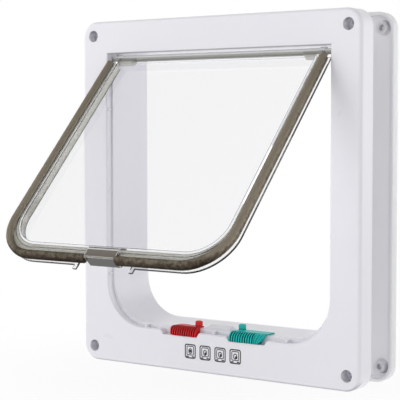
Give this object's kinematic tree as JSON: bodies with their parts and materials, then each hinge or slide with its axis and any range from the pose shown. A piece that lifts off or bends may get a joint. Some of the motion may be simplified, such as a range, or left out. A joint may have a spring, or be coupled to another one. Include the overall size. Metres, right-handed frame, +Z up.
{
  "type": "cat flap",
  "caption": "White door-mounted cat flap: clear top-hung flap with brown pile edging and a magnetic catch, red and green lock sliders on the sill, and a telescoping tunnel through the door.",
  "frame": {"origin": "centre of the screw pattern, on the plane where the front frame meets the door", "axes": "X across the door to the right as seen from the front, Y through the door from the front frame to the rear frame, Z up"},
  "size_m": [0.235, 0.1749, 0.25],
  "materials": {
    "white_plastic": "satin moulded white",
    "clear_plastic": "clear polished",
    "brown_pile": "brushed pile",
    "magnet_steel": "plated",
    "red_plastic": "satin moulded red",
    "green_plastic": "satin moulded green"
  },
  "bodies": {
    "frame": {"front_frame": "white_plastic", "sill_magnet": "magnet_steel", "sill_magnet_cover": "white_plastic"},
    "flap": {"flap_panel": "clear_plastic", "pile_strip_left": "brown_pile", "pile_strip_right": "brown_pile", "magnet_clip": "clear_plastic", "flap_magnet": "magnet_steel"},
    "lock_red": {"lock_slider_red": "red_plastic"},
    "lock_green": {"lock_slider_green": "green_plastic"},
    "rear": {"rear_frame": "white_plastic"}
  },
  "joints": [
    {"name": "flap_hinge", "type": "hinge", "parent": "frame", "child": "flap", "pos_m": [0, -0.0082, 0.0975], "axis": [1, 0, 0], "range_deg": [-37, 123]},
    {"name": "lock_red_slide", "type": "slide", "parent": "frame", "child": "lock_red", "axis": [-1, 0, 0], "range_m": [0, 0.005]},
    {"name": "lock_green_slide", "type": "slide", "parent": "frame", "child": "lock_green", "axis": [1, 0, 0], "range_m": [0, 0.005]},
    {"name": "rear_slide", "type": "slide", "parent": "frame", "child": "rear", "axis": [0, 1, 0], "range_m": [-0.012, 0.016]}
  ]
}
